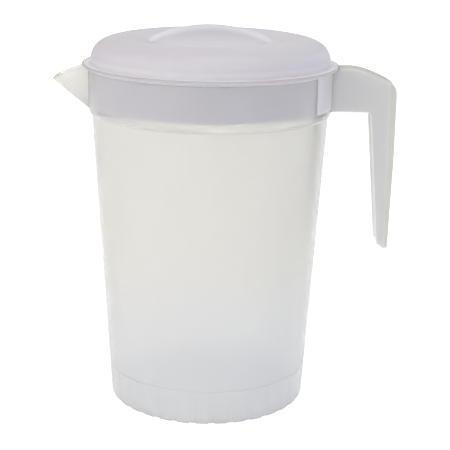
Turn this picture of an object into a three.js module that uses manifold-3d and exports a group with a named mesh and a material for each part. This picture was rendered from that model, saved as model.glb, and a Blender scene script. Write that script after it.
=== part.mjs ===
// A two litre water jug of milky polypropylene with its press-in lid, in millimetres, +Z up.
// The origin is the middle of the underside, on the jug's own axis. The handle points along +X
// and the pouring spout along -X.
import * as THREE from "three";
import { mergeVertices } from "three/addons/utils/BufferGeometryUtils.js";
import Module from "manifold-3d";

const wasm = await Module();
wasm.setup();

// Driving dimensions of the jug
const ROUND_SIDES = 86;
const WALL = 1.8;
const BASE_RADIUS = 59.5;
const CREASE_RADIUS = 70;
const CREASE_Z = 175.3;
const COLLAR_RADIUS = 72;
const COLLAR_ROUND = 5.2;
const RIM_Z = 202.4;
const RIM_BEVEL = 0.5;
const FLOOR_THICKNESS = 2.4;
const FLOOR_ROUND = 4;
const FOOT_ROUND = 1.4;
const FOOT_RECESS = { inner: 18, outer: 50, depth: 1 };

// The band of shallow upright grooves round the foot, each with a drain notch at its lower end.
// The whole band is turned by an angle in degrees from the handle.
const GROOVE = { count: 33, turn: 2.3, radius: 3.2, depth: 0.7, top: 21.2, sides: 12 };
const NOTCH = { width: 3.9, height: 0.9 };
const RING_LINE = { z: 21.2, depth: 0.35, height: 0.9 };

// The spout is a trough that rises outwards and is cut off by a plane that falls outwards
const SPOUT = {
  tipX: -92.2,
  tipZ: 194.8,
  keelSlope: 0.82,
  rimSlope: 0.385,
  floorHalf: 9.2,
  cornerRadius: 3.2,
  splay: 0.11,
  wall: 1.6,
  height: 28,
  rootX: -58,
};

// The handle is a channel: a strap outside and two side walls, open towards the jug
const HANDLE = {
  width: 18,
  round: 4,
  strap: 2.3,
  side: 2,
  rootX: 66,
  topZ: 203.4,
  fallX: 82.5,
  kneeX: 102.2,
  kneeZ: 197.4,
  kneeSlope: 0.48,
  pull: 6,
  outerX: 109.7,
  bendZ: 186.5,
  straightZ: 150,
  outerBottomX: 108.3,
  bottomZ: 95.5,
  toeRadius: 4,
  innerBottomX: 100.9,
  innerTopX: 94.1,
  innerBevel: 1,
  undersideZ: 177.6,
};

// Driving dimensions of the lid
const LID_WALL = 1.6;
const SEAT_GAP = 0.3;
const FLANGE = { radius: 75.5, thickness: 1.8, round: 0.5 };
const SKIRT = { bottom: 180.3, wall: 1.8, taper: 0.3 };
const DOME = { middle: 24.6, radius: 70.9, low: 194.9, high: 220.5, power: 4.47, dishEdge: 52 };
const RECESS = { radius: 36.6, rimZ: 217.3, floorRadius: 21, floorZ: 209 };
const GRIP = { width: 10, round: 3.6, sunk: 0.4, rise: 9.8, power: 0.8, steps: 10 };
const POUR_GAP = { halfWidth: 12.5, top: 201.3 };

const FLANGE_BOTTOM = RIM_Z + SEAT_GAP;
const FLANGE_TOP = FLANGE_BOTTOM + FLANGE.thickness;
const SKIRT_RADIUS = COLLAR_RADIUS - WALL - SEAT_GAP;

// How far a cutting shape runs past the surface that it cuts
const PAST = 20;

// A solid from a closed three.js geometry. One that was listed inside out is turned.
function solidOf(geometry) {
  const bare = geometry.clone();
  bare.deleteAttribute("normal");
  bare.deleteAttribute("uv");
  const merged = mergeVertices(bare, 1e-4);
  const triVerts = new Uint32Array(merged.index.array);
  const vertProperties = merged.attributes.position.array;
  if (signedVolume(vertProperties, triVerts) < 0) {
    for (let i = 0; i < triVerts.length; i += 3) {
      [triVerts[i + 1], triVerts[i + 2]] = [triVerts[i + 2], triVerts[i + 1]];
    }
  }
  return new wasm.Manifold(new wasm.Mesh({ numProp: 3, vertProperties, triVerts }));
}

function signedVolume(positions, triangles) {
  const corner = (i) => new THREE.Vector3().fromArray(positions, 3 * triangles[i]);
  let sum = 0;
  for (let i = 0; i < triangles.length; i += 3) {
    sum += corner(i).dot(corner(i + 1).cross(corner(i + 2)));
  }
  return sum;
}

// The mesh of a finished solid, flat shaded.
function meshOf(name, solid, material) {
  const { numProp, vertProperties, triVerts } = solid.getMesh();
  const positions = new Float32Array((vertProperties.length / numProp) * 3);
  for (let i = 0; i < positions.length / 3; i += 1) {
    positions.set(vertProperties.subarray(i * numProp, i * numProp + 3), i * 3);
  }
  const geometry = new THREE.BufferGeometry();
  geometry.setAttribute("position", new THREE.BufferAttribute(positions, 3));
  geometry.setIndex(new THREE.BufferAttribute(triVerts, 1));
  geometry.computeVertexNormals();
  const mesh = new THREE.Mesh(geometry, material);
  mesh.name = name;
  return mesh;
}

// A solid of revolution about +Z. The profile is a list of [radius, z], from axis to axis.
function turned(profile) {
  const points = profile.map(([radius, z]) => new THREE.Vector2(radius, z));
  return solidOf(new THREE.LatheGeometry(points, ROUND_SIDES).rotateX(Math.PI / 2));
}

// A plain round disc of a radius between two heights.
function disc(radius, low, high) {
  return turned([
    [0, low],
    [radius, low],
    [radius, high],
    [0, high],
  ]);
}

// A side outline in X and Z, given as a THREE.Shape, made `width` thick about the XZ plane.
function slab(shape, width, round = 0) {
  const geometry = new THREE.ExtrudeGeometry(shape, {
    depth: width - 2 * round,
    curveSegments: 10,
    bevelEnabled: round > 0,
    bevelThickness: round,
    bevelSize: round,
    bevelOffset: -round,
    bevelSegments: 3,
  });
  return solidOf(geometry.translate(0, 0, round - width / 2).rotateX(Math.PI / 2));
}

const bodyRadius = (z) => BASE_RADIUS + ((CREASE_RADIUS - BASE_RADIUS) * z) / CREASE_Z;

// Points on an ellipse in `steps` chords, between two directions in degrees.
function arcPoints(centreR, centreZ, radiusR, radiusZ, from, to, steps) {
  return Array.from({ length: steps + 1 }, (_, i) => {
    const angle = THREE.MathUtils.degToRad(from + ((to - from) * i) / steps);
    return [centreR + radiusR * Math.cos(angle), centreZ + radiusZ * Math.sin(angle)];
  });
}

// The outside of the turned body: foot, cone, the crease under the collar, collar and rim.
function bodyOutside() {
  const step = COLLAR_RADIUS - CREASE_RADIUS;
  const { z: ringZ, depth, height } = RING_LINE;
  return turned([
    [0, 0],
    [FOOT_RECESS.inner, 0],
    [FOOT_RECESS.inner + 1, FOOT_RECESS.depth],
    [FOOT_RECESS.outer - 1, FOOT_RECESS.depth],
    [FOOT_RECESS.outer, 0],
    ...arcPoints(BASE_RADIUS - FOOT_ROUND, FOOT_ROUND, FOOT_ROUND, FOOT_ROUND, -90, 0, 2),
    [bodyRadius(ringZ - height), ringZ - height],
    [bodyRadius(ringZ) - depth, ringZ - height / 2],
    [bodyRadius(ringZ), ringZ],
    [CREASE_RADIUS, CREASE_Z],
    ...arcPoints(CREASE_RADIUS, CREASE_Z + COLLAR_ROUND, step, COLLAR_ROUND, -65, 0, 4),
    [COLLAR_RADIUS, RIM_Z - RIM_BEVEL],
    [COLLAR_RADIUS - RIM_BEVEL, RIM_Z],
    [0, RIM_Z],
  ]);
}

// The hollow of the body, out through the rim.
function bodyHollow() {
  const corner = BASE_RADIUS - WALL - FLOOR_ROUND;
  const mouth = COLLAR_RADIUS - WALL;
  return turned([
    [0, FLOOR_THICKNESS],
    ...arcPoints(corner, FLOOR_THICKNESS + FLOOR_ROUND, FLOOR_ROUND, FLOOR_ROUND, -90, 0, 3),
    [CREASE_RADIUS - WALL, CREASE_Z],
    [mouth, CREASE_Z + COLLAR_ROUND],
    [mouth, RIM_Z - RIM_BEVEL],
    [mouth + RIM_BEVEL, RIM_Z],
    [mouth + RIM_BEVEL, RIM_Z + PAST],
    [0, RIM_Z + PAST],
  ]);
}

// A rod laid along the wall, which cuts one shallow groove.
function grooveRod() {
  const { radius, depth, top, sides } = GROOVE;
  const lean = Math.atan((CREASE_RADIUS - BASE_RADIUS) / CREASE_Z);
  const rod = new THREE.CylinderGeometry(radius, radius, 2 * top, sides).rotateX(Math.PI / 2);
  return solidOf(rod.rotateY(lean).translate(BASE_RADIUS + radius - depth, 0, 0));
}

// The notch through the standing ring below one groove.
function drainNotch() {
  const inside = FOOT_RECESS.outer + 1;
  const length = BASE_RADIUS + PAST - inside;
  const block = new THREE.BoxGeometry(length, NOTCH.width, 2 * NOTCH.height);
  return solidOf(block.translate(inside + length / 2, 0, 0));
}

function footGrooves() {
  const cutter = grooveRod().add(drainNotch());
  const cutters = Array.from({ length: GROOVE.count }, (_, i) =>
    cutter.rotate([0, 0, GROOVE.turn + (i * 360) / GROOVE.count]),
  );
  return cutters.reduce((all, one) => all.add(one));
}

// The section across the spout's keel: a flat floor, round corners and nearly upright sides.
function troughShape(inset) {
  const { floorHalf, cornerRadius, splay, height } = SPOUT;
  const radius = cornerRadius - inset;
  const side = floorHalf + cornerRadius - inset;
  const shape = new THREE.Shape();
  shape.moveTo(-floorHalf, inset);
  shape.lineTo(floorHalf, inset);
  shape.absarc(floorHalf, inset + radius, radius, -Math.PI / 2, 0, false);
  shape.lineTo(side + splay * height, height);
  shape.lineTo(-side - splay * height, height);
  shape.absarc(-floorHalf, inset + radius, radius, Math.PI, 1.5 * Math.PI, false);
  return shape;
}

// The trough itself, swept straight along the keel from inside the jug to `past` beyond the tip.
function trough(inset, past) {
  const { tipX, tipZ, keelSlope, rootX } = SPOUT;
  const along = new THREE.Vector3(-1, 0, keelSlope).normalize();
  const across = new THREE.Vector3(0, -1, 0);
  const up = new THREE.Vector3().crossVectors(along, across);
  const start = new THREE.Vector3(rootX, 0, tipZ - keelSlope * (rootX - tipX));
  const depth = (rootX - tipX) * Math.hypot(1, keelSlope) + past;
  const sweep = new THREE.ExtrudeGeometry(troughShape(inset), {
    depth,
    curveSegments: 5,
    bevelEnabled: false,
  });
  return solidOf(sweep.applyMatrix4(new THREE.Matrix4().makeBasis(across, up, along).setPosition(start)));
}

// What lies under the plane that the spout's rim runs in.
function underSpoutRim() {
  const { tipX, tipZ, rimSlope, rootX } = SPOUT;
  const meetX = tipX + (RIM_Z - tipZ) / rimSlope;
  const low = CREASE_Z - PAST;
  const shape = new THREE.Shape();
  shape.moveTo(tipX - PAST, tipZ - rimSlope * PAST);
  shape.lineTo(meetX, RIM_Z);
  shape.lineTo(rootX, RIM_Z);
  shape.lineTo(rootX, low);
  shape.lineTo(tipX - PAST, low);
  return slab(shape, COLLAR_RADIUS);
}

// The outer edge of the handle seen from the side, from the collar round to the toe.
function handleEdge() {
  const { rootX, topZ, fallX, kneeX, kneeZ, kneeSlope, pull } = HANDLE;
  const { outerX, bendZ, straightZ, outerBottomX, bottomZ } = HANDLE;
  const drop = pull * kneeSlope;
  const path = new THREE.Path();
  path.moveTo(rootX, topZ);
  path.lineTo(fallX, topZ);
  path.bezierCurveTo(fallX + pull, topZ, kneeX - pull, kneeZ + drop, kneeX, kneeZ);
  path.bezierCurveTo(kneeX + pull, kneeZ - drop, outerX, bendZ + pull, outerX, bendZ);
  path.lineTo(outerX, straightZ);
  path.lineTo(outerBottomX, bottomZ);
  return path.getPoints(8);
}

// A run of points moved sideways by a distance, to the right of its direction.
function shifted(points, distance) {
  return points.map((point, i) => {
    const before = points[Math.max(i - 1, 0)];
    const after = points[Math.min(i + 1, points.length - 1)];
    const run = after.clone().sub(before).normalize();
    return new THREE.Vector2(point.x + run.y * distance, point.y - run.x * distance);
  });
}

// The handle's own side view: outer edge, toe, straight inner edge and the arm's underside.
function handleOutline() {
  const { rootX, bottomZ, undersideZ, innerTopX, innerBottomX, innerBevel, toeRadius } = HANDLE;
  const shape = new THREE.Shape(handleEdge());
  shape.lineTo(innerBottomX + toeRadius, bottomZ);
  shape.quadraticCurveTo(innerBottomX, bottomZ, innerBottomX, bottomZ + toeRadius);
  shape.lineTo(innerTopX, undersideZ - innerBevel);
  shape.lineTo(innerTopX - innerBevel, undersideZ);
  shape.lineTo(rootX, undersideZ);
  return shape;
}

// The stock that the handle is cut from, with its outer edges rounded, and the same outline
// moved inwards and below the toe, which is the channel.
function handleStock(inset, width, round) {
  const edge = shifted(handleEdge(), inset);
  const last = edge[edge.length - 1];
  const low = last.y - PAST;
  const inside = HANDLE.rootX - PAST;
  const shape = new THREE.Shape([
    ...edge,
    new THREE.Vector2(last.x, low),
    new THREE.Vector2(inside, low),
    new THREE.Vector2(inside, edge[0].y),
  ]);
  return slab(shape, width, round);
}

function handle() {
  const { width, round, strap, side } = HANDLE;
  return slab(handleOutline(), width)
    .intersect(handleStock(0, width, round))
    .subtract(handleStock(strap, width - 2 * side, 0));
}

// Room for the lid's flange where the handle stands higher than the rim.
function flangeSeat() {
  return disc(FLANGE.radius + SEAT_GAP, RIM_Z, RIM_Z + PAST);
}

function jug() {
  const spout = trough(0, 0).intersect(underSpoutRim());
  return bodyOutside()
    .add(spout)
    .add(handle())
    .subtract(bodyHollow())
    .subtract(trough(SPOUT.wall, PAST))
    .subtract(footGrooves())
    .subtract(flangeSeat());
}

// The round shoulder of the lid, inset by a wall: a superellipse from the flange to the dish.
function shoulder(inset, steps) {
  const { middle, radius, low, high, power, dishEdge } = DOME;
  const wide = radius - middle - inset;
  const tall = high - low - inset;
  const exponent = 2 / power;
  const angleAt = (share) => Math.asin(Math.min(share, 1) ** (1 / exponent));
  const first = angleAt((FLANGE_TOP - low) / tall);
  const last = Math.acos(((dishEdge - middle) / wide) ** (1 / exponent));
  return Array.from({ length: steps + 1 }, (_, i) => {
    const angle = first + ((last - first) * i) / steps;
    return [middle + wide * Math.cos(angle) ** exponent, low + tall * Math.sin(angle) ** exponent];
  });
}

// The round pocket in the middle of the lid, from its crisp rim down to its flat floor.
function recess(inset) {
  const { radius, rimZ, floorRadius, floorZ } = RECESS;
  const wide = radius - floorRadius + inset;
  const tall = rimZ - floorZ;
  return [...arcPoints(floorRadius, rimZ - inset, wide, tall, 0, -90, 4), [0, floorZ - inset]];
}

function turnedLid() {
  const { radius, round } = FLANGE;
  const inside = SKIRT_RADIUS - SKIRT.wall;
  const outer = [
    [SKIRT_RADIUS - SKIRT.taper, SKIRT.bottom],
    [SKIRT_RADIUS, FLANGE_BOTTOM],
    [radius - round, FLANGE_BOTTOM],
    [radius, FLANGE_BOTTOM + round],
    [radius, FLANGE_TOP - round],
    [radius - round, FLANGE_TOP],
    ...shoulder(0, 8),
    ...recess(0),
  ];
  const inner = [[inside - SKIRT.taper, SKIRT.bottom], ...shoulder(LID_WALL, 5), ...recess(LID_WALL)];
  return turned([...inner.reverse(), ...outer]);
}

// The arched bar that the fingers hold, across the pocket. It stands on the middle of the wall
// below the pocket, and its ends run into the pocket's side.
function grip() {
  const { width, round, sunk, rise, power, steps } = GRIP;
  const half = RECESS.radius + sunk;
  const foot = RECESS.floorZ - LID_WALL / 2;
  const crest = Array.from({ length: steps + 1 }, (_, i) => {
    const angle = (Math.PI * i) / steps;
    const height = rise * Math.abs(Math.sin(angle)) ** (2 * power);
    return new THREE.Vector2(half * Math.cos(angle), RECESS.rimZ - sunk + height);
  });
  const shape = new THREE.Shape([
    ...crest,
    new THREE.Vector2(-half, foot - round),
    new THREE.Vector2(half, foot - round),
  ]);
  return slab(shape, width, round).intersect(disc(half, foot, RECESS.rimZ + PAST));
}

// The gap in the skirt that lets the water through to the spout.
function pourGap() {
  const { halfWidth, top } = POUR_GAP;
  const height = top - SKIRT.bottom + PAST;
  const block = new THREE.BoxGeometry(PAST, 2 * halfWidth, height);
  return solidOf(block.translate(-SKIRT_RADIUS, 0, top - height / 2));
}

function lid() {
  return turnedLid().add(grip()).subtract(pourGap());
}

const milkyPlastic = new THREE.MeshStandardMaterial({
  color: 0xdcdedc,
  roughness: 0.35,
  metalness: 0,
  transparent: true,
  opacity: 0.75,
});
const lavenderPlastic = new THREE.MeshStandardMaterial({ color: 0xd2cdd4, roughness: 0.5, metalness: 0 });

const part = new THREE.Group();
part.add(meshOf("jug", jug(), milkyPlastic));
part.add(meshOf("lid", lid(), lavenderPlastic));

export default part;
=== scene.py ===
# A milky plastic water jug with its press-in lid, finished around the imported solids.
# Lengths are in millimetres, and MM turns them into the frame's metres.
import math

import bmesh
import bpy
import numpy as np
from mathutils import Matrix, Vector


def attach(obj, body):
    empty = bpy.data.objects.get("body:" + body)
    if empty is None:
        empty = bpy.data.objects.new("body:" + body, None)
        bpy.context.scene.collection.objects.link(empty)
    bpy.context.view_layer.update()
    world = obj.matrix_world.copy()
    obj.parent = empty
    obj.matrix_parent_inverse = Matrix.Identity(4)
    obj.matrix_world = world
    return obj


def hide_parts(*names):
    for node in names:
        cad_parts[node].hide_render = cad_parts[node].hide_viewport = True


MM = 0.001
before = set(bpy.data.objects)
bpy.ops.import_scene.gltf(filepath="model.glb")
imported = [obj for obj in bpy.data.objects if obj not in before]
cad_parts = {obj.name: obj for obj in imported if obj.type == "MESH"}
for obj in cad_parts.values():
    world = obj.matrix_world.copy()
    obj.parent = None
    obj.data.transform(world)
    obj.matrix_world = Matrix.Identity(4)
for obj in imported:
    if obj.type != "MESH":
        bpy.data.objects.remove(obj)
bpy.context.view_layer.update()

# The jug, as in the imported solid
WALL = 1.8
BASE_RADIUS = 59.5
CREASE_RADIUS = 70.0
CREASE_Z = 175.3
CREASE_ROUND = 0.3
CREASE_STEP = (0.8, 0.45)
COLLAR_RADIUS = 72.0
COLLAR_ROUND = 5.2
COLLAR_START = -65
RIM_Z = 202.4
FLOOR_THICKNESS = 2.4
FLOOR_ROUND = 4.0
NECK_ROUND = 4.0
FOOT_ROUND = 1.4
FOOT_RECESS = {"inner": 18.0, "outer": 50.0, "depth": 1.0, "slope": 1.0, "round": 0.4}
RING_LINE = {"z": 21.2, "depth": 0.35, "height": 0.9, "round": 0.2}

# The upright grooves: how many, the first one's turn in degrees, and their half width, depth and top.
# The edge values, and the columns of points over a groove and between two, are shares of the half width.
GROOVE = {
    "count": 33,
    "turn": 2.3,
    "half": 2.0,
    "depth": 0.18,
    "top": 21.2,
    "fade": 1.2,
    "edge_end": 1.2,
    "edge_width": 0.4,
    "columns": (0, 0.45, 0.8, 0.95, 1.1, 1.35),
    "between": (-2.8, 2.2),
}
NOTCH_HEIGHT = 0.9
# How many notch heights up the notches have died out
NOTCH_REACH = 3
# How deep under the outer skin a point may lie and still be pressed in with it
SKIN = 0.6

SPOUT = {
    "tip_x": -92.2,
    "tip_z": 194.8,
    "keel_slope": 0.82,
    "rim_slope": 0.385,
    "floor_half": 9.2,
    "corner": 3.2,
    "splay": 0.11,
    "wall": 1.6,
    "height": 28.0,
    "root_x": -58.0,
    "edge_round": 0.45,
    "sections": 16,
}
HANDLE = {
    "half": 9.0,
    "strap": 2.3,
    "side": 2.0,
    "root_x": 66.0,
    "top_z": 203.4,
    "fall_x": 82.5,
    "knee": (102.2, 197.4),
    "knee_slope": 0.48,
    "pull": 6.0,
    "outer_x": 109.7,
    "bend_z": 186.5,
    "straight_z": 150.0,
    "outer_bottom_x": 108.3,
    "bottom_z": 95.5,
    "toe": 4.0,
    "inner_bottom_x": 100.9,
    "inner_top_x": 94.1,
    "underside_z": 177.6,
    "crook": 2.0,
    "crook_reach": 3.0,
    "edge_round": 1.4,
    "step": 3.0,
}
# The channel inside the handle: its lips, and the rounds that set its inner corners
CHANNEL = {
    "lip": 0.8,
    "arm_round": 2.6,
    "toe_round": 2.4,
    "bend_round": 5.0,
    "power": 0.7,
    "least_round": 0.7,
    "least_floor": 0.3,
    "least_skin": 1.2,
    "corner_points": 8,
}
# The slanted strip along each side of the grip's outer edge: height, where it starts, and how deep it cuts
STRIP = {"bottom": (97.0, 106.4, 1.5), "top": (195.0, 104.7, 4.0)}
# How far the strip's cutting block stands clear of the handle's sides, and runs on past its outer edge
STRIP_CLEAR = 1
STRIP_PAST = 1.8

# The lid
LID_WALL = 1.6
SEAT_GAP = 0.3
FLANGE = {
    "radius": 75.5,
    "thickness": 1.8,
    "lip": 1.6,
    "lip_slope": 0.7,
    "channel": 0.35,
    "under_round": 0.8,
    "top_round": 0.85,
    "lip_round": 0.5,
    "channel_round": 0.4,
}
SKIRT = {"bottom": 180.3, "wall": 1.8, "taper": 0.3, "round": 0.8, "seat_round": 0.4, "inside_start": 3}
DOME = {
    "middle": 24.6,
    "radius": 70.9,
    "low": 194.9,
    "high": 220.5,
    "power": 4.47,
    "edge": 52.0,
    "foot_reach": 0.1,
    "foot_round": 1.6,
    "crest_round": 9.0,
}
RECESS = {"radius": 36.6, "rim_z": 217.3, "floor_radius": 21.0, "floor_z": 209.0, "edge_round": 0.9}
GRIP = {
    "half": 4.3,
    "round": 3.6,
    "flare": 5.5,
    "flare_power": 1.6,
    "sunk": 0.4,
    "rise": 9.8,
    "power": 0.8,
    "sections": 49,
    "side_points": 9,
}
POUR_GAP = {"half": 12.5, "top": 201.3, "corner": 1.5}
FLANGE_BOTTOM = RIM_Z + SEAT_GAP
FLANGE_TOP = FLANGE_BOTTOM + FLANGE["thickness"]
SKIRT_RADIUS = COLLAR_RADIUS - WALL - SEAT_GAP

# How far a cutting shape runs past the surface that it cuts
PAST = 20.0
# How much a cutting plug is slacker than the hollow, so that the joined walls still overlap
SLACK = 0.02
# Points closer than this are one point
WELD = 1e-3
# The longest steps along the turned profiles
BODY_STEP = 9.0
LID_STEP = 6.0
PLUG_STEP = 12
# The sides of the turned shapes
LID_SIDES = 288
CUTTER_SIDES = 240
DISC_SIDES = 144
# How many steps each curve is cut into
STEPS = {
    "collar": 12,
    "rim": 10,
    "inside": 8,
    "trough": 8,
    "knee": 10,
    "bend": 12,
    "shoulder": 28,
    "recess": 12,
    "crest": 8,
    "shoulder_inside": 20,
    "recess_inside": 10,
}
# The most of a run that a fillet may take up
FILLET_SHARE = 0.49
# Edges sharper than these angles in degrees stay sharp in the shading
SHARP = 38
HANDLE_SHARP = 16
NORMAL_WEIGHT = 80

# The jug's looks. tones are (height, colour) from the foot upwards, through is the share of light that
# passes straight through, and rough is the range of the roughness.
BODY, COLLAR, ROOT, SIDE, WARM_LIT_STRAP, LIT_LINING, RIM = range(7)
MILKY_LOOKS = {
    "milky_body": {
        # The body's tones run from bluish at the foot to cream from mid-height up: painted cool light low
        # on the body and painted warm light higher up.
        "tones": [(0, (0.90, 0.915, 0.945)), (35, (0.90, 0.915, 0.94)), (90, (0.918, 0.906, 0.856))],
        "through": 0.6,
        "rough": (0.22, 0.28),
    },
    "milky_collar": {
        "tones": [(179.5, (0.905, 0.895, 0.868)), (181.5, (0.92, 0.912, 0.955))],
        "through": 0.78,
        "rough": (0.2, 0.26),
    },
    "milky_root": {"tones": [(0, (0.62, 0.61, 0.65))], "through": 0.1, "rough": (0.26, 0.32)},
    # The handle is one plastic in lit and shaded copies: painted shade on the flat sides, painted warm
    # light on the rounded strap and edges, painted light in the channel.
    "milky_handle_side_painted_shade": {"tones": [(0, (0.565, 0.56, 0.567))], "through": 0.1, "rough": (0.3, 0.36)},
    "milky_handle_strap_painted_warm_light": {"tones": [(0, (0.565, 0.553, 0.513))], "through": 0.1, "rough": (0.3, 0.36)},
    "milky_channel_painted_light": {"tones": [(0, (0.85, 0.845, 0.82))], "through": 0.1, "rough": (0.3, 0.36)},
    # The rim under the lid's flange is darker than the collar: painted shadow of the flange.
    "milky_rim_painted_shadow": {"tones": [(0, (0.70, 0.69, 0.72))], "through": 0.1, "rough": (0.2, 0.26)},
}
MILKY = {"grain": 180.0, "detail": 3.0, "bump": 0.12, "scatter": 1.0, "reach": 0.004}
# How far the collar's denser part reaches round from the middle of the handle's root, in degrees
ROOT_TURN = 31.4
# What tells the jug's zones apart: distances beyond the collar, the channel's wall, the crease and the
# collar's round, and how much a face must look sideways, down or inwards
ZONE = {
    "clear": 0.15,
    "lining": 0.3,
    "crease": 1,
    "round": 0.1,
    "inward": 0.5,
    "down": 0.3,
    "sideways": 0.98,
}

# The lid's looks. tones are (distance from the axis, colour) from the middle outwards, with painted light
# and shade in them.
LID_TONES_AND_PAINTED_LIGHT = [
    # Lighter inside the pocket: painted light against the pocket's shade.
    (RECESS["radius"] - 1, (0.655, 0.638, 0.682)),
    (RECESS["radius"] + 1, (0.53, 0.514, 0.557)),
    (DOME["radius"] - 0.7, (0.52, 0.504, 0.547)),
    # Lighter at the foot of the dome and in the flange's channel: painted light that lifts the corner's
    # shade and stands in for the flange's reflection.
    (DOME["radius"] - 0.1, (0.65, 0.635, 0.675)),
    (FLANGE["radius"] - FLANGE["lip"], (0.61, 0.592, 0.625)),
    # Dark on the flange's outer edge: painted shade that dulls its highlight.
    (FLANGE["radius"] - 0.6, (0.37, 0.353, 0.376)),
]
SKIRT_TONES_AND_PAINTED_LIGHT = [
    (SKIRT_RADIUS + 0.3, (0.605, 0.591, 0.635)),
    # Lighter on the flange's underside: painted light in the shadow under the flange.
    (SKIRT_RADIUS + 1.3, (0.75, 0.735, 0.77)),
]
# How far above the flange's underside the skirt's look, with its painted light, ends
SKIRT_LOOK_TOP = 0.1
LAVENDER = {
    "grain": 220.0,
    "detail": 3.0,
    "mottle": (0.97, 1.03),
    # Darker towards the grip's crest: painted shade on the top of the grip.
    "crest": (1.0, 0.84),
    "bump": 0.15,
    "rough": 0.5,
    "scatter": 0.6,
    "reach": 0.005,
}
PLASTIC_IOR = 1.49
BUMP_DEPTH = 0.0002

# The stage, in metres. The floor glows more away from the jug.
FLOOR = {
    "half": 8.0,
    "drop": 0.0002,
    "colour": (0.93, 0.93, 0.93, 1),
    "rough": 0.7,
    "glow_colour": (0.98, 0.985, 1.0, 1),
    "glow_from": (0.7, 2.4),
    "glow": (0.487, 0.9),
}
WORLD_STRENGTH = 0.36
AIM = (0, 0, 0.11)
# Each light's place, size, power and colour
LIGHTS = {
    "front": ((0.05, -1.6, 1.0), (1.2, 0.8), 7.6, (0.94, 0.965, 1.0)),
    "front_left": ((-1.3, -1.2, 0.9), (0.8, 0.8), 9.2, (1.0, 0.965, 0.91)),
    "top": ((0.1, -0.1, 1.6), (1.2, 1.2), 10.7, (1.0, 0.957, 0.92)),
    "left": ((-1.7, 0, 0.6), (0.8, 0.8), 2.0, (1.0, 0.95, 0.88)),
    "right": ((1.7, 0, 0.6), (0.8, 0.8), 3.5, (0.76, 0.85, 1.0)),
    "back": ((0, 1.7, 1.1), (1.4, 0.8), 3.4, (1, 1, 1)),
    "back_right": ((1.3, 1.3, 0.8), (0.8, 0.8), 3.9, (0.84, 0.89, 1.0)),
}
# The camera, solved from the photograph: back and height in millimetres, and its turns in radians.
# handle_turn is how far round the jug the camera stands, in degrees, because the handle doesn't point
# quite sideways.
CAMERA = {
    "back": 707.553,
    "height": 302.568,
    "yaw": 0.0141,
    "pitch": 0.272,
    "roll": 0.017,
    "handle_turn": 2.0,
    "focal_px": 1202.811,
    "picture_px": 450,
    "sensor": 36.0,
    "near": 0.05,
    "far": 50,
}


def mesh_object(name, points, faces):
    """A closed mesh from points in millimetres, with its faces turned outwards."""
    mesh = bpy.data.meshes.new(name)
    mesh.from_pydata((np.asarray(points) * MM).tolist(), [], faces)
    work = bmesh.new()
    work.from_mesh(mesh)
    bmesh.ops.remove_doubles(work, verts=work.verts, dist=WELD * MM)
    bmesh.ops.dissolve_degenerate(work, edges=work.edges, dist=WELD * MM)
    bmesh.ops.recalc_face_normals(work, faces=work.faces)
    work.to_mesh(mesh)
    work.free()
    piece = bpy.data.objects.new(name, mesh)
    bpy.context.scene.collection.objects.link(piece)
    return piece


def filleted(corners, steps=6):
    """A profile from corners (r, z, fillet radius), with each fillet as a round arc."""
    points = []
    for i, (r, z, radius) in enumerate(corners):
        here = np.array([r, z])
        if radius <= 0 or i in (0, len(corners) - 1):
            points.append(here)
            continue
        before = np.array(corners[i - 1][:2]) - here
        after = np.array(corners[i + 1][:2]) - here
        points += fillet(here, before, after, radius, steps)
    return points


def fillet(here, before, after, radius, steps):
    """The arc at one corner, from the runs to its two neighbours."""
    a = before / np.linalg.norm(before)
    b = after / np.linalg.norm(after)
    half = math.acos(np.clip(a @ b, -1, 1)) / 2
    shortest = min(np.linalg.norm(before), np.linalg.norm(after))
    reach = min(radius / math.tan(half), FILLET_SHARE * shortest)
    centre = here + (a + b) / np.linalg.norm(a + b) * reach / math.cos(half)
    start = here + a * reach - centre
    end = here + b * reach - centre
    sweep = math.pi - 2 * half
    points = []
    for k in range(steps + 1):
        t = k / steps
        mix = (start * math.sin((1 - t) * sweep) + end * math.sin(t * sweep)) / math.sin(sweep)
        points.append(centre + mix)
    return points


def ellipse_arc(centre_r, centre_z, radius_r, radius_z, start, end, steps):
    """Points on an ellipse between two directions in degrees."""
    points = []
    for angle in np.radians(np.linspace(start, end, steps + 1)):
        r = centre_r + radius_r * math.cos(angle)
        z = centre_z + radius_z * math.sin(angle)
        points.append(np.array([r, z]))
    return points


def even(points, longest):
    """The same profile with long runs split, so that no step is longer than a length."""
    out = [points[0]]
    for a, b in zip(points, points[1:]):
        count = max(1, math.ceil(np.linalg.norm(b - a) / longest))
        out += [a + (b - a) * k / count for k in range(1, count + 1)]
    return out


def full_turn(count):
    """Equal angles all the way round."""
    return np.linspace(0, 2 * math.pi, count, endpoint=False)


def band_faces(rows):
    """Four-sided faces between neighbouring rows of point numbers, closed round each row."""
    faces = []
    for low, high in zip(rows, rows[1:]):
        for j in range(len(low)):
            k = (j + 1) % len(low)
            faces.append((low[j], low[k], high[k], high[j]))
    return faces


def turned(name, profile, angles, shape=None):
    """A solid of revolution from a profile that starts and ends on the axis.
    shape, if given, moves the grid's points: it takes radius, height and angle, and gives back
    radius and height."""
    rows = np.array(profile)
    radius, height = rows[:, 0][:, None], rows[:, 1][:, None]
    angle = np.asarray(angles)[None, :]
    radius, height, angle = np.broadcast_arrays(radius, height, angle)
    if shape:
        radius, height = shape(radius, height, angle)
    grid = np.stack([radius * np.cos(angle), radius * np.sin(angle), height], axis=-1)
    index = np.arange(radius.size).reshape(radius.shape).tolist()
    return mesh_object(name, grid.reshape(-1, 3), band_faces(index))


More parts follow.
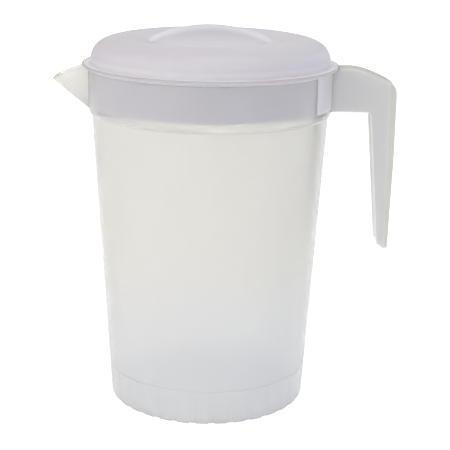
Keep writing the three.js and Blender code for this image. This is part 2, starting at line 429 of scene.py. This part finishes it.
def loft(name, sections):
    """A solid through closed sections of equal length, with a flat cap at each end."""
    grid = np.array(sections)
    count, around = grid.shape[:2]
    index = np.arange(count * around).reshape(count, around).tolist()
    faces = band_faces(index)
    for row in (index[0], index[-1]):
        for j in range(around // 2 - 1):
            faces.append((row[j], row[j + 1], row[-2 - j], row[-1 - j]))
    return mesh_object(name, grid.reshape(-1, 3), faces)


def mirrored(half, first=-1):
    """A closed outline from one half of it, as (half width, along), starting on the first side."""
    return [(first * y, v) for y, v in half] + [(-first * y, v) for y, v in reversed(half)]


def apply_tools(piece):
    """Turns a piece's modifiers into its mesh."""
    made = bpy.data.meshes.new_from_object(piece.evaluated_get(bpy.context.evaluated_depsgraph_get()))
    piece.modifiers.clear()
    piece.data = made


def combined(piece, other, operation):
    """Joins or cuts one closed mesh with another, which is used up."""
    tool = piece.modifiers.new("cut", "BOOLEAN")
    tool.operation = operation
    tool.object = other
    tool.solver = "MANIFOLD"
    apply_tools(piece)
    bpy.data.objects.remove(other)
    if not piece.data.polygons:
        raise RuntimeError(f"{piece.name}: the {operation} left nothing")
    return piece


def bevelled(piece, width, angle=35, segments=3):
    """Rounds every edge of a small solid that is sharper than an angle in degrees."""
    tool = piece.modifiers.new("round", "BEVEL")
    tool.width = width * MM
    tool.segments = segments
    tool.limit_method = "ANGLE"
    tool.angle_limit = math.radians(angle)
    tool.harden_normals = False
    apply_tools(piece)
    return piece


def smoothed(piece, handle_angle=SHARP):
    """Smooth shading that keeps sharp edges, with an angle of its own for the handle's."""
    work = bmesh.new()
    work.from_mesh(piece.data)
    for face in work.faces:
        face.smooth = True
    for edge in work.edges:
        on_handle = min(vertex.co.x for vertex in edge.verts) > HANDLE["fall_x"] * MM
        sharpest = math.radians(handle_angle if on_handle else SHARP)
        edge.smooth = len(edge.link_faces) == 2 and edge.calc_face_angle(0) < sharpest
    work.to_mesh(piece.data)
    work.free()
    tool = piece.modifiers.new("normals", "WEIGHTED_NORMAL")
    tool.keep_sharp = True
    tool.weight = NORMAL_WEIGHT
    return piece


def body_radius(z):
    """The body's outer radius at a height under the crease."""
    return BASE_RADIUS + (CREASE_RADIUS - BASE_RADIUS) * z / CREASE_Z


def foot_outside():
    """The outer profile from the middle of the underside up to the crease."""
    inner, outer, round_ = FOOT_RECESS["inner"], FOOT_RECESS["outer"], FOOT_RECESS["round"]
    slope, up = FOOT_RECESS["slope"], FOOT_RECESS["depth"]
    ring, height, soft = RING_LINE["z"], RING_LINE["height"], RING_LINE["round"]
    notch_end = NOTCH_HEIGHT * NOTCH_REACH
    return filleted([
        (0, 0, 0),
        (inner, 0, round_),
        (inner + slope, up, round_),
        (outer - slope, up, round_),
        (outer, 0, round_),
        (BASE_RADIUS, 0, FOOT_ROUND),
        (body_radius(notch_end), notch_end, 0),
        (body_radius(ring - height), ring - height, soft),
        (body_radius(ring) - RING_LINE["depth"], ring - height / 2, soft),
        (body_radius(ring), ring, soft),
        (CREASE_RADIUS, CREASE_Z, CREASE_ROUND),
        (CREASE_RADIUS + CREASE_STEP[0], CREASE_Z + CREASE_STEP[1], 0),
    ])[:-1]


def body_outside():
    """The outer profile of the turned body, from the axis below to the top of the rim."""
    step, low, half = COLLAR_RADIUS - CREASE_RADIUS, CREASE_Z + COLLAR_ROUND, WALL / 2
    collar = ellipse_arc(CREASE_RADIUS, low, step, COLLAR_ROUND, COLLAR_START, 0, STEPS["collar"])
    rim = ellipse_arc(COLLAR_RADIUS - half, RIM_Z - half, half, half, 0, 180, STEPS["rim"])
    return foot_outside() + collar + rim


def body_inside():
    """The inner profile, from under the rim down to the middle of the floor."""
    mouth = COLLAR_RADIUS - WALL
    return filleted([
        (mouth, RIM_Z - WALL, 0),
        (mouth, CREASE_Z + COLLAR_ROUND, NECK_ROUND),
        (CREASE_RADIUS - WALL, CREASE_Z, NECK_ROUND),
        (BASE_RADIUS - WALL, FLOOR_THICKNESS, FLOOR_ROUND),
        (0, FLOOR_THICKNESS, 0),
    ], STEPS["inside"])


def groove_angles():
    """Angles round the jug, closer together at each groove's edges."""
    pitch = 2 * math.pi / GROOVE["count"]
    half = math.degrees(GROOVE["half"] / BASE_RADIUS)
    offsets = {column * half * side for column in GROOVE["columns"] for side in (-1, 1)}
    offsets |= {column * half for column in GROOVE["between"]}
    turn = math.radians(GROOVE["turn"])
    starts = [turn + i * pitch for i in range(GROOVE["count"])]
    return [start + math.radians(offset) for start in starts for offset in sorted(offsets)]


def groove_share(angle):
    """How much of a groove lies at an angle: 1 across its floor and 0 outside it, with round edges."""
    pitch = 2 * math.pi / GROOVE["count"]
    offset = (angle - math.radians(GROOVE["turn"]) + pitch / 2) % pitch - pitch / 2
    across = np.abs(offset) * BASE_RADIUS / GROOVE["half"]
    share = np.clip((GROOVE["edge_end"] - across) / GROOVE["edge_width"], 0, 1)
    return share ** 2 * (3 - 2 * share)


def grooved(radius, height, angle):
    """Presses the upright grooves and the drain notches into the foot band."""
    share = groove_share(angle)
    outer = radius > body_radius(height) - SKIN
    fade = np.clip((GROOVE["top"] - RING_LINE["height"] - height) / GROOVE["fade"], 0, 1)
    dished = GROOVE["depth"] * share * fade * outer
    ring = (radius > FOOT_RECESS["outer"] - SKIN) & (height < NOTCH_HEIGHT)
    lifted = np.where(ring, height + (NOTCH_HEIGHT - height) * share, height)
    return radius - dished, lifted


def plug(radius_change):
    """A solid that fills the jug's hollow up past the rim, wider than the hollow by a length."""
    low = FLOOR_THICKNESS + PAST
    mouth = COLLAR_RADIUS - WALL + radius_change
    profile = [
        np.array([0, low]),
        np.array([body_radius(low) - WALL + radius_change, low]),
        np.array([CREASE_RADIUS - WALL + radius_change, CREASE_Z]),
        np.array([mouth, CREASE_Z + COLLAR_ROUND]),
        np.array([mouth, RIM_Z + PAST]),
        np.array([0, RIM_Z + PAST]),
    ]
    return turned("plug", even(profile, PLUG_STEP), full_turn(CUTTER_SIDES))


def disc(name, radius, low, high, sides):
    """A round cutting block between two heights."""
    corners = ((0, low), (radius, low), (radius, high), (0, high))
    return turned(name, [np.array(corner, float) for corner in corners], full_turn(sides))


def trough_section(inset):
    """Half widths and heights square to the keel, from the middle of the floor up one side."""
    radius = SPOUT["corner"] - inset
    side = SPOUT["floor_half"] + SPOUT["corner"] - inset
    lean = math.degrees(math.atan(SPOUT["splay"]))
    arc = ellipse_arc(SPOUT["floor_half"], inset + radius, radius, radius, -90, -lean, STEPS["trough"])
    top = np.array([side + SPOUT["splay"] * SPOUT["height"], SPOUT["height"]])
    return arc + [top]


def trough(inset, past):
    """The trough as a solid, closed on top, swept along the keel to past beyond the tip."""
    slope = SPOUT["keel_slope"]
    along = np.array([-1, 0, slope]) / math.hypot(1, slope)
    up = np.array([slope, 0, 1]) / math.hypot(1, slope)
    tip = np.array([SPOUT["tip_x"], 0, SPOUT["tip_z"]])
    length = (SPOUT["root_x"] - SPOUT["tip_x"]) * math.hypot(1, slope)
    loop = mirrored(trough_section(inset))
    sections = []
    for run in np.linspace(-length, past, SPOUT["sections"]):
        base = tip + along * run
        sections.append([base + np.array([0, y, 0]) + up * h for y, h in loop])
    return loft("trough", sections)


def under_rim_plane():
    """What lies under the slanted plane of the spout's rim."""
    tip_x, tip_z, root = SPOUT["tip_x"], SPOUT["tip_z"], SPOUT["root_x"]
    meet = tip_x + (RIM_Z - tip_z) / SPOUT["rim_slope"]
    low = CREASE_Z - PAST
    outline = [
        (tip_x - PAST, low),
        (root, low),
        (root, RIM_Z),
        (meet, RIM_Z),
        (tip_x - PAST, tip_z - SPOUT["rim_slope"] * PAST),
    ]
    sides = [[np.array([x, y, z]) for x, z in outline] for y in (-COLLAR_RADIUS, COLLAR_RADIUS)]
    count = len(outline)
    faces = [(i, (i + 1) % count, count + (i + 1) % count, count + i) for i in range(count)]
    faces += [tuple(range(count)), tuple(range(2 * count - 1, count - 1, -1))]
    return mesh_object("under", sides[0] + sides[1], faces)


def spout():
    """The open trough with its slanted lip."""
    piece = combined(trough(0, 0), under_rim_plane(), "INTERSECT")
    piece = combined(piece, trough(SPOUT["wall"], PAST), "DIFFERENCE")
    return bevelled(piece, SPOUT["edge_round"])


def bezier(a, b, c, d, steps):
    """Points along a cubic curve from its four control points."""
    t = np.linspace(0, 1, steps + 1)[:, None]
    a, b, c, d = (np.array(p, float) for p in (a, b, c, d))
    return list((1 - t) ** 3 * a + 3 * (1 - t) ** 2 * t * b + 3 * (1 - t) * t ** 2 * c + t ** 3 * d)


def handle_edge():
    """The outer edge seen from the side, from the collar round to the toe, as (x, z)."""
    h = HANDLE
    knee = np.array(h["knee"])
    pull = np.array([h["pull"], -h["pull"] * h["knee_slope"]])
    fall = np.array([h["fall_x"], h["top_z"]])
    bend = np.array([h["outer_x"], h["bend_z"]])
    along, down = np.array([h["pull"], 0]), np.array([0, h["pull"]])
    points = [np.array([h["root_x"], h["top_z"]])]
    points += bezier(fall, fall + along, knee - pull, knee, STEPS["knee"])
    points += bezier(knee, knee + pull, bend + down, bend, STEPS["bend"])[1:]
    points.append(np.array([h["outer_x"], h["straight_z"]]))
    points.append(np.array([h["outer_bottom_x"], h["bottom_z"]]))
    return even(points, h["step"])


def handle_inner(point):
    """The inner edge's point that belongs to a point of the outer edge."""
    h = HANDLE
    x, z = point
    corner_x, corner_z = h["inner_top_x"], h["underside_z"]
    toe_top = h["bottom_z"] + h["toe"]
    crook_low = corner_z - h["crook_reach"]
    if x < corner_x - h["crook_reach"]:
        return np.array([x, corner_z])
    if z > crook_low:
        angle = np.clip((crook_low - z) / (crook_low - h["top_z"]), 0, 1) * math.pi / 2
        middle = np.array([corner_x - h["crook"], corner_z - h["crook"]])
        return middle + h["crook"] * np.array([math.cos(angle), math.sin(angle)])
    if z > toe_top:
        slope = (h["inner_bottom_x"] - corner_x) / (corner_z - toe_top)
        return np.array([corner_x + slope * (corner_z - z), z])
    angle = math.asin(np.clip((toe_top - z) / h["toe"], 0, 1))
    toe_x = h["inner_bottom_x"] + h["toe"] * (1 - math.cos(angle))
    return np.array([toe_x, toe_top - h["toe"] * math.sin(angle)])


def channel_round(point):
    """The round that sets the channel's inner corners: small on the arm, largest at the bend."""
    z = point[1]
    knee_z = HANDLE["knee"][1]
    if z > knee_z:
        return CHANNEL["arm_round"]
    share = min(1.0, max(0.0, (z - HANDLE["bottom_z"]) / (knee_z - HANDLE["bottom_z"])))
    gain = CHANNEL["bend_round"] - CHANNEL["toe_round"]
    return CHANNEL["toe_round"] + gain * share ** CHANNEL["power"]


def flank(depth, half, lip_half, radius):
    """One side of the channel's section as (half width, depth): the lip's bevel, the side, the corner."""
    lip, straight = CHANNEL["lip"], depth - radius
    points = [(lip_half, 0), (half, lip), (half, 0.5 * (straight + lip))]
    for a in np.linspace(0, math.pi / 2, CHANNEL["corner_points"]):
        points.append((half - radius + radius * math.cos(a), straight + radius * math.sin(a)))
    return points


def handle_section(outer, inner):
    """One closed section of the channel: round the outside from near to far, then back inside."""
    half, lip = HANDLE["half"], CHANNEL["lip"]
    depth = np.linalg.norm(outer - inner)
    run = (outer - inner) / depth
    edge_round = min(HANDLE["edge_round"], depth - CHANNEL["least_skin"])
    floor = max(depth - HANDLE["strap"], lip + CHANNEL["least_floor"])
    wall = half - HANDLE["side"]
    inner_round = max(channel_round(outer) - HANDLE["side"], CHANNEL["least_round"])
    inner_round = min(inner_round, floor - lip)
    loop = mirrored(flank(depth, half, half - lip, edge_round))
    loop += mirrored(flank(floor, wall, wall + lip, inner_round), first=1)
    return [np.array([inner[0] + run[0] * u, y, inner[1] + run[1] * u]) for y, u in loop]


def strip_trim():
    """The block that the handle stays inside, which slants the sides of the grip's outer edge."""
    (low, start_low, cut_low), (high, start_high, cut_high) = STRIP["bottom"], STRIP["top"]
    edge_low, edge_high = HANDLE["outer_bottom_x"], HANDLE["outer_x"]
    half = HANDLE["half"]
    sections = []
    for z in (low - PAST, high + PAST):
        share = (z - low) / (high - low)
        start = start_low + (start_high - start_low) * share
        cut = cut_low + (cut_high - cut_low) * share
        run = (edge_low + (edge_high - edge_low) * share - start) / cut
        side = [
            (half + STRIP_CLEAR, start - 3 * PAST),
            (half + STRIP_CLEAR, start - run),
            (half - STRIP_PAST * cut, start + STRIP_PAST * run * cut),
        ]
        sections.append([np.array([x, y, z]) for y, x in mirrored(side)])
    return loft("trim", sections)


def handle():
    """The hooked channel handle: a strap outside and two side walls, open towards the jug."""
    sections = [handle_section(point, handle_inner(point)) for point in handle_edge()]
    return combined(loft("handle", sections), strip_trim(), "INTERSECT")


def jug():
    """The body with its collar, spout and handle, as one closed mesh."""
    profile = even(body_outside() + body_inside()[1:], BODY_STEP)
    body = turned("water_jug", profile, groove_angles(), grooved)
    seat = disc("seat", FLANGE["radius"] + SEAT_GAP, RIM_Z, RIM_Z + PAST, CUTTER_SIDES)
    arms = combined(handle(), plug(WALL / 2), "DIFFERENCE")
    arms = combined(arms, seat, "DIFFERENCE")
    trimmed = combined(spout(), plug(-SLACK), "DIFFERENCE")
    opening = combined(trough(SPOUT["wall"] / 2, PAST), plug(-PAST), "DIFFERENCE")
    body = combined(body, opening, "DIFFERENCE")
    body = combined(body, trimmed, "UNION")
    return smoothed(combined(body, arms, "UNION"), HANDLE_SHARP)


def shoulder(inset, steps):
    """The lid's round shoulder, from the flange up to the dish, as a superellipse."""
    exponent = 2 / DOME["power"]
    wide = DOME["radius"] - DOME["middle"] - inset
    tall = DOME["high"] - DOME["low"] - inset
    first = math.asin(((FLANGE_TOP - DOME["low"]) / tall) ** (1 / exponent))
    last = math.acos(((DOME["edge"] - DOME["middle"]) / wide) ** (1 / exponent))
    points = []
    for angle in np.linspace(first, last, steps + 1):
        r = DOME["middle"] + wide * math.cos(angle) ** exponent
        z = DOME["low"] + tall * math.sin(angle) ** exponent
        points.append(np.array([r, z]))
    return points


def recess(inset, steps):
    """The round pocket in the lid's middle, from its rim down to its floor."""
    wide = RECESS["radius"] - RECESS["floor_radius"] + inset
    tall = RECESS["rim_z"] - RECESS["floor_z"]
    arc = ellipse_arc(RECESS["floor_radius"], RECESS["rim_z"] - inset, wide, tall, 0, -90, steps)
    return arc + [np.array([0, RECESS["floor_z"] - inset])]


def lid_edge(dome):
    """The skirt and the flange, from inside the skirt round to the foot of the dome."""
    inside = SKIRT_RADIUS - SKIRT["wall"] - SKIRT["taper"]
    radius, lip = FLANGE["radius"], FLANGE["radius"] - FLANGE["lip"]
    channel = FLANGE_TOP - FLANGE["channel"]
    return filleted([
        (inside, SKIRT["bottom"] + SKIRT["inside_start"], 0),
        (inside, SKIRT["bottom"], SKIRT["round"]),
        (SKIRT_RADIUS - SKIRT["taper"], SKIRT["bottom"], SKIRT["round"]),
        (SKIRT_RADIUS, FLANGE_BOTTOM, SKIRT["seat_round"]),
        (radius, FLANGE_BOTTOM, FLANGE["under_round"]),
        (radius, FLANGE_TOP, FLANGE["top_round"]),
        (lip, FLANGE_TOP, FLANGE["lip_round"]),
        (lip - FLANGE["lip_slope"], channel, FLANGE["channel_round"]),
        (dome[0][0] + DOME["foot_reach"], channel, DOME["foot_round"]),
        (dome[1][0], dome[1][1], 0),
    ])


def turned_lid():
    """The lid without its grip."""
    dome, dish = shoulder(0, STEPS["shoulder"]), recess(0, STEPS["recess"])
    edge = lid_edge(dome)
    crest = filleted([
        (*dome[-2], 0),
        (*dome[-1], DOME["crest_round"]),
        (*dish[0], RECESS["edge_round"]),
        (*dish[1], 0),
    ], STEPS["crest"])
    outer = edge[1:-1] + dome[1:-1] + crest[1:-1] + dish[1:]
    inner = shoulder(LID_WALL, STEPS["shoulder_inside"]) + recess(LID_WALL, STEPS["recess_inside"])
    inner = [edge[0]] + inner
    profile = even(list(reversed(inner)) + outer, LID_STEP)
    return turned("lid_of_jug", profile, full_turn(LID_SIDES))


def grip_height(x):
    """The height of the grip's crest at a place along it."""
    half = RECESS["radius"] + GRIP["sunk"]
    rise = GRIP["rise"] * max(0.0, 1 - (x / half) ** 2) ** GRIP["power"]
    return RECESS["rim_z"] - GRIP["sunk"] + rise


def grip_side(foot, top):
    """One side of the bar's section as (half width, height): the flared face, then the round crest."""
    half, round_ = GRIP["half"], GRIP["round"]
    start = top - round_
    side = []
    for t in np.linspace(0, 1, GRIP["side_points"])[:-1]:
        side.append((half + GRIP["flare"] * (1 - t) ** GRIP["flare_power"], foot + (start - foot) * t))
    for a in np.linspace(0, math.pi / 2, GRIP["side_points"]):
        side.append((half - round_ + round_ * math.cos(a), start + round_ * math.sin(a)))
    return side


def grip():
    """The arched bar across the pocket."""
    reach = RECESS["radius"] + GRIP["sunk"]
    foot = RECESS["floor_z"] - LID_WALL / 2
    sections = []
    for angle in np.linspace(-math.pi / 2, math.pi / 2, GRIP["sections"]):
        x = reach * math.sin(angle)
        loop = mirrored(grip_side(foot, grip_height(x)), first=1)
        sections.append([np.array([x, y, z]) for y, z in loop])
    bar = loft("grip", sections)
    return combined(bar, disc("disc", reach, foot, foot + 2 * PAST, DISC_SIDES), "INTERSECT")


def pour_gap():
    """The gap in the skirt that lets the water through to the spout."""
    half, top, low = POUR_GAP["half"], POUR_GAP["top"], SKIRT["bottom"] - PAST
    corners = ((-half, low), (half, low), (half, top), (-half, top))
    ends = (-SKIRT_RADIUS - PAST / 2, -SKIRT_RADIUS + PAST / 2)
    sections = [[np.array([x, y, z]) for y, z in corners] for x in ends]
    return bevelled(loft("gap", sections), POUR_GAP["corner"])


def lid():
    """The whole lid, as one closed mesh."""
    piece = combined(turned_lid(), grip(), "UNION")
    return smoothed(combined(piece, pour_gap(), "DIFFERENCE"))


def new_material(name):
    """An empty node material, with helpers that add a node and join two sockets, and its output."""
    material = bpy.data.materials.new(name)
    material.use_nodes = True
    tree = material.node_tree
    tree.nodes.clear()

    def add(kind, sockets=None, **settings):
        node = tree.nodes.new(kind)
        for key, value in settings.items():
            setattr(node, key, value)
        for key, value in (sockets or {}).items():
            node.inputs[key].default_value = value
        return node

    return material, add, tree.links.new, add("ShaderNodeOutputMaterial")


def toned(add, share, join, tones, longest):
    """A colour ramp over a share of a longest length, with its stops from (length, colour)."""
    ramp = add("ShaderNodeValToRGB")
    join(share, ramp.inputs["Fac"])
    stops = ramp.color_ramp.elements
    for length, tone in tones:
        stops.new(length / longest).color = (*tone, 1)
    stops.remove(stops[0])
    stops.remove(stops[-1])
    return ramp.outputs["Color"]


def grained(add, join, place, shader, look):
    """Gives a shader the fine bump of moulded plastic, and hands back the grain that makes it."""
    noise = add("ShaderNodeTexNoise", {"Scale": look["grain"], "Detail": look["detail"]})
    join(place.outputs["Object"], noise.inputs["Vector"])
    bump = add("ShaderNodeBump", {"Strength": look["bump"], "Distance": BUMP_DEPTH})
    join(noise.outputs["Fac"], bump.inputs["Height"])
    join(bump.outputs["Normal"], shader.inputs["Normal"])
    return noise.outputs["Fac"]


def plastic_shader(add, look, **sockets):
    """A plastic that scatters light under its surface."""
    return add("ShaderNodeBsdfPrincipled", {
        "IOR": PLASTIC_IOR,
        "Subsurface Weight": look["scatter"],
        "Subsurface Radius": (look["reach"], look["reach"], look["reach"]),
        "Subsurface Scale": 1.0,
        **sockets,
    })


def height_of(add, join, place):
    """The height over the floor, in metres."""
    split = add("ShaderNodeSeparateXYZ")
    join(place.outputs["Object"], split.inputs[0])
    return split.outputs["Z"]


def milky_plastic(name, tones, through, rough):
    """Natural polypropylene: lets soft light through, blurs what is behind it, with a soft gloss."""
    material, add, join, output = new_material(name)
    place = add("ShaderNodeTexCoord")
    shader = plastic_shader(add, MILKY)
    shader.inputs["Transmission Weight"].default_value = through
    grain = grained(add, join, place, shader, MILKY)
    uneven = add("ShaderNodeMapRange", {"To Min": rough[0], "To Max": rough[1]})
    join(grain, uneven.inputs["Value"])
    join(uneven.outputs["Result"], shader.inputs["Roughness"])
    if len(tones) == 1:
        shader.inputs["Base Color"].default_value = (*tones[0][1], 1)
    else:
        share = add("ShaderNodeMapRange", {"From Min": 0.0, "From Max": RIM_Z * MM})
        join(height_of(add, join, place), share.inputs["Value"])
        join(toned(add, share.outputs["Result"], join, tones, RIM_Z), shader.inputs["Base Color"])
    join(shader.outputs["BSDF"], output.inputs["Surface"])
    return material


def share_of_radius(add, join, place):
    """The distance from the lid's axis, as a share of the flange's radius."""
    flat = add("ShaderNodeVectorMath", {1: (1, 1, 0)}, operation="MULTIPLY")
    join(place.outputs["Object"], flat.inputs[0])
    reach = add("ShaderNodeVectorMath", operation="LENGTH")
    join(flat.outputs["Vector"], reach.inputs[0])
    share = add("ShaderNodeMath", {1: FLANGE["radius"] * MM}, operation="DIVIDE")
    join(reach.outputs["Value"], share.inputs[0])
    return share.outputs["Value"]


def lid_mottle_and_painted_shade(add, join, place, grain):
    """The mottle of the lid's plastic, with painted shade that darkens it towards the grip's crest."""
    mottle = add("ShaderNodeMapRange", {"To Min": LAVENDER["mottle"][0], "To Max": LAVENDER["mottle"][1]})
    join(grain, mottle.inputs["Value"])
    crest = add("ShaderNodeMapRange", {
        "From Min": DOME["high"] * MM,
        "From Max": (RECESS["rim_z"] + GRIP["rise"]) * MM,
        "To Min": LAVENDER["crest"][0],
        "To Max": LAVENDER["crest"][1],
    })
    join(height_of(add, join, place), crest.inputs["Value"])
    shade = add("ShaderNodeMath", operation="MULTIPLY")
    join(mottle.outputs["Result"], shade.inputs[0])
    join(crest.outputs["Result"], shade.inputs[1])
    return shade.outputs["Value"]


def lavender_plastic(name, tones):
    """The lid's pale lavender moulded plastic, satin and a little translucent, with the painted light and
    shade that its tones and crest carry.
    """
    material, add, join, output = new_material(name)
    place = add("ShaderNodeTexCoord")
    shader = plastic_shader(add, LAVENDER, Roughness=LAVENDER["rough"])
    grain = grained(add, join, place, shader, LAVENDER)
    tone = add("ShaderNodeMix", {"Factor": 1.0}, data_type="RGBA", blend_type="MULTIPLY")
    share = share_of_radius(add, join, place)
    join(toned(add, share, join, tones, FLANGE["radius"]), tone.inputs["A"])
    join(lid_mottle_and_painted_shade(add, join, place, grain), tone.inputs["B"])
    join(tone.outputs["Result"], shader.inputs["Base Color"])
    join(shader.outputs["BSDF"], output.inputs["Surface"])
    return material


def floor_material():
    """A pale floor with its own glow."""
    material, add, join, output = new_material("pale_floor")
    place = add("ShaderNodeTexCoord")
    reach = add("ShaderNodeVectorMath", operation="LENGTH")
    join(place.outputs["Object"], reach.inputs[0])
    glow = add("ShaderNodeMapRange", {
        "From Min": FLOOR["glow_from"][0],
        "From Max": FLOOR["glow_from"][1],
        "To Min": FLOOR["glow"][0],
        "To Max": FLOOR["glow"][1],
    })
    join(reach.outputs["Value"], glow.inputs["Value"])
    shader = add("ShaderNodeBsdfPrincipled", {
        "Roughness": FLOOR["rough"],
        "Base Color": FLOOR["colour"],
        "Emission Color": FLOOR["glow_colour"],
    })
    join(glow.outputs["Result"], shader.inputs["Emission Strength"])
    join(shader.outputs["BSDF"], output.inputs["Surface"])
    return material


def pale_floor():
    """The plain floor that the jug stands on."""
    half = FLOOR["half"]
    corners = [(-half, -half, 0), (half, -half, 0), (half, half, 0), (-half, half, 0)]
    mesh = bpy.data.meshes.new("floor")
    mesh.from_pydata(corners, [], [(0, 1, 2, 3)])
    mesh.materials.append(floor_material())
    floor = bpy.data.objects.new("floor", mesh)
    bpy.context.scene.collection.objects.link(floor)
    floor.location.z = -FLOOR["drop"]


def area_light(name, place, size, power, colour):
    """A soft rectangular light that faces the jug."""
    data = bpy.data.lights.new(name, "AREA")
    data.shape = "RECTANGLE"
    data.size, data.size_y = size
    data.energy = power
    data.color = colour
    light = bpy.data.objects.new(name, data)
    light.location = Vector(place)
    light.rotation_mode = "QUATERNION"
    light.rotation_quaternion = (Vector(AIM) - Vector(place)).to_track_quat("-Z", "Y")
    bpy.context.scene.collection.objects.link(light)


def studio():
    """Soft studio light in a white room."""
    world = bpy.data.worlds.new("studio")
    bpy.context.scene.world = world
    world.use_nodes = True
    background = world.node_tree.nodes["Background"]
    background.inputs["Color"].default_value = (1, 1, 1, 1)
    background.inputs["Strength"].default_value = WORLD_STRENGTH
    for name, (place, size, power, colour) in LIGHTS.items():
        area_light(name, place, size, power, colour)


def camera():
    """The photograph's view."""
    c = CAMERA
    yaw, pitch, roll = c["yaw"], c["pitch"], c["roll"]
    forward = Vector((math.sin(yaw) * math.cos(pitch), math.cos(yaw) * math.cos(pitch), -math.sin(pitch)))
    level = Vector((math.cos(yaw), -math.sin(yaw), 0))
    upright = level.cross(forward)
    right = level * math.cos(roll) + upright * math.sin(roll)
    up = upright * math.cos(roll) - level * math.sin(roll)
    turn = Matrix.Rotation(math.radians(c["handle_turn"]), 4, "Z")
    axes = Matrix((right, up, -forward)).transposed().to_4x4()
    data = bpy.data.cameras.new("camera")
    data.sensor_width = c["sensor"]
    data.lens = c["focal_px"] / c["picture_px"] * data.sensor_width
    data.clip_start, data.clip_end = c["near"], c["far"]
    eye = bpy.data.objects.new("camera", data)
    bpy.context.scene.collection.objects.link(eye)
    eye.matrix_world = turn @ Matrix.Translation((0, -c["back"] * MM, c["height"] * MM)) @ axes
    bpy.context.scene.camera = eye


def handle_zone(face, middle):
    """Which look a face of the handle takes: painted light on the lining and on faces that look down or
    towards the jug, painted shade on the flat sides, and painted warm light on the rounded strap.
    """
    wall = HANDLE["half"] - HANDLE["side"]
    lining = abs(face.normal.y) > ZONE["inward"] and abs(middle.y) < wall + ZONE["lining"]
    # The lining and the faces that look down or towards the jug take painted light against the channel's
    # shade.
    if lining or min(face.normal.x, face.normal.z) < -ZONE["down"]:
        return LIT_LINING
    return SIDE if abs(face.normal.y) > ZONE["sideways"] else WARM_LIT_STRAP


def jug_zone(face):
    """Which of the jug's looks a face takes."""
    middle = face.center / MM
    outside = math.hypot(middle.x, middle.y) > COLLAR_RADIUS + ZONE["clear"]
    if outside and middle.x > 0:
        return handle_zone(face, middle)
    if outside or middle.z < CREASE_Z + ZONE["crease"]:
        return BODY
    # The rim's faces take the painted shadow under the flange.
    if middle.z > RIM_Z - WALL / 2:
        return RIM
    near_root = math.degrees(math.atan2(abs(middle.y), middle.x)) < ROOT_TURN
    return ROOT if near_root and middle.z > CREASE_Z + COLLAR_ROUND - ZONE["round"] else COLLAR


def lid_zone(face):
    """Which of the lid's looks a face takes: 1 under the flange, where the underside has painted light,
    and 0 above.
    """
    return int(face.center.z < (FLANGE_BOTTOM + SKIRT_LOOK_TOP) * MM)


def dress(piece, materials, zone, node):
    """Gives a piece its looks and its place in the frame."""
    piece.data.materials.clear()
    for material in materials:
        piece.data.materials.append(material)
    for face in piece.data.polygons:
        face.material_index = zone(face)
    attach(piece, "root")
    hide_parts(node)


camera()
studio()
pale_floor()
milky = [milky_plastic(name, **look) for name, look in MILKY_LOOKS.items()]
dress(jug(), milky, jug_zone, "jug")
lavender = [lavender_plastic("lavender_lid", LID_TONES_AND_PAINTED_LIGHT), lavender_plastic("lavender_skirt_and_painted_light", SKIRT_TONES_AND_PAINTED_LIGHT)]
dress(lid(), lavender, lid_zone, "lid")
bpy.context.scene.view_settings.view_transform = "Standard"
